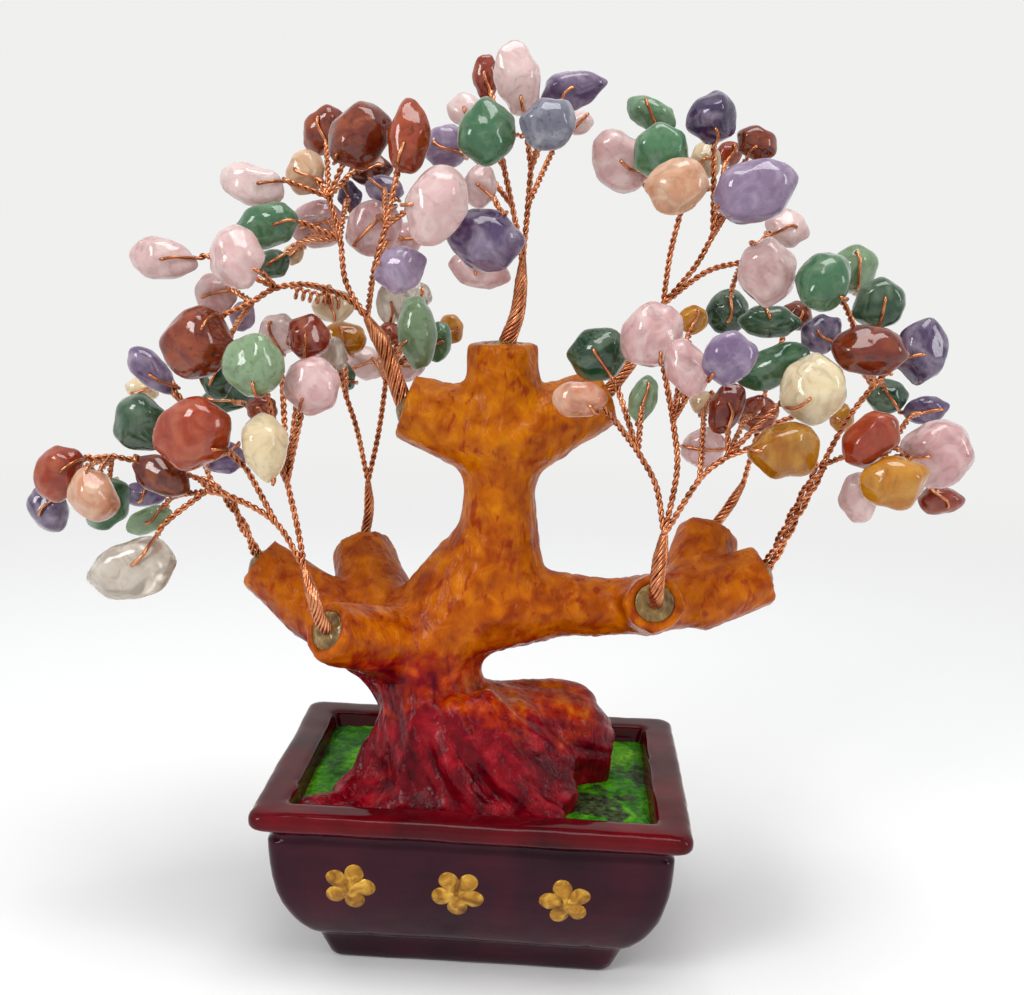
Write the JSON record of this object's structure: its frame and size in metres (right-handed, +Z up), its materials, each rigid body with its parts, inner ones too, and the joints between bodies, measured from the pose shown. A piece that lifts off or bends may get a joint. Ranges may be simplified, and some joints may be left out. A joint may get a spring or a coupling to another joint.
{
  "type": "gemstone tree ornament",
  "caption": "Small ornamental tree: polished stone chips on twisted copper wire, set in a painted moulded trunk in a glossy rectangular planter.",
  "frame": {"origin": "under the middle of the planter's foot, on the face that it stands on", "axes": "+Z up, -Y towards the planter's front, +X to the right seen from the front"},
  "size_m": [0.1901, 0.0769, 0.178],
  "materials": {
    "amethyst": "polished lilac to violet",
    "bark_paint": "painted ochre orange, deep red at the foot",
    "carnelian": "polished orange",
    "clear_glue": "clear amber glue",
    "copper_wire": "bright copper",
    "gold_paint": "bright gold paint",
    "green_aventurine": "polished green",
    "grey_agate": "polished speckled grey",
    "moonstone": "polished cream",
    "moss_paint": "mottled green paint",
    "planter_glaze": "glossy dark burgundy",
    "red_jasper": "polished brown red",
    "rock_crystal": "polished, nearly clear",
    "rose_quartz": "polished, cloudy pink",
    "yellow_jasper": "polished honey yellow"
  },
  "bodies": {
    "root": {"glue_plugs": "clear_glue", "left_back_carnelian": "carnelian", "left_back_green_aventurine": "green_aventurine", "left_back_rock_crystal": "rock_crystal", "left_back_rose_quartz": "rose_quartz", "left_back_wires": "copper_wire", "left_back_yellow_jasper": "yellow_jasper", "left_end_amethyst": "amethyst", "left_end_carnelian": "carnelian", "left_end_green_aventurine": "green_aventurine", "left_end_moonstone": "moonstone", "left_end_red_jasper": "red_jasper", "left_end_wires": "copper_wire", "left_front_amethyst": "amethyst", "left_front_carnelian": "carnelian", "left_front_green_aventurine": "green_aventurine", "left_front_moonstone": "moonstone", "left_front_rock_crystal": "rock_crystal", "left_front_rose_quartz": "rose_quartz", "left_front_wires": "copper_wire", "planter": "planter_glaze", "planting_bed": "moss_paint", "right_back_green_aventurine": "green_aventurine", "right_back_red_jasper": "red_jasper", "right_back_wires": "copper_wire", "right_back_yellow_jasper": "yellow_jasper", "right_end_amethyst": "amethyst", "right_end_carnelian": "carnelian", "right_end_green_aventurine": "green_aventurine", "right_end_red_jasper": "red_jasper", "right_end_rose_quartz": "rose_quartz", "right_end_wires": "copper_wire", "right_end_yellow_jasper": "yellow_jasper", "right_front_amethyst": "amethyst", "right_front_carnelian": "carnelian", "right_front_green_aventurine": "green_aventurine", "right_front_moonstone": "moonstone", "right_front_rose_quartz": "rose_quartz", "right_front_wires": "copper_wire", "right_front_yellow_jasper": "yellow_jasper", "top_amethyst": "amethyst", "top_carnelian": "carnelian", "top_green_aventurine": "green_aventurine", "top_grey_agate": "grey_agate", "top_rose_quartz": "rose_quartz", "top_wires": "copper_wire", "trunk": "bark_paint", "upper_left_amethyst": "amethyst", "upper_left_green_aventurine": "green_aventurine", "upper_left_moonstone": "moonstone", "upper_left_red_jasper": "red_jasper", "upper_left_rose_quartz": "rose_quartz", "upper_left_wires": "copper_wire", "upper_right_amethyst": "amethyst", "upper_right_green_aventurine": "green_aventurine", "upper_right_moonstone": "moonstone", "upper_right_red_jasper": "red_jasper", "upper_right_rose_quartz": "rose_quartz", "upper_right_wires": "copper_wire"}
  },
  "joints": []
}
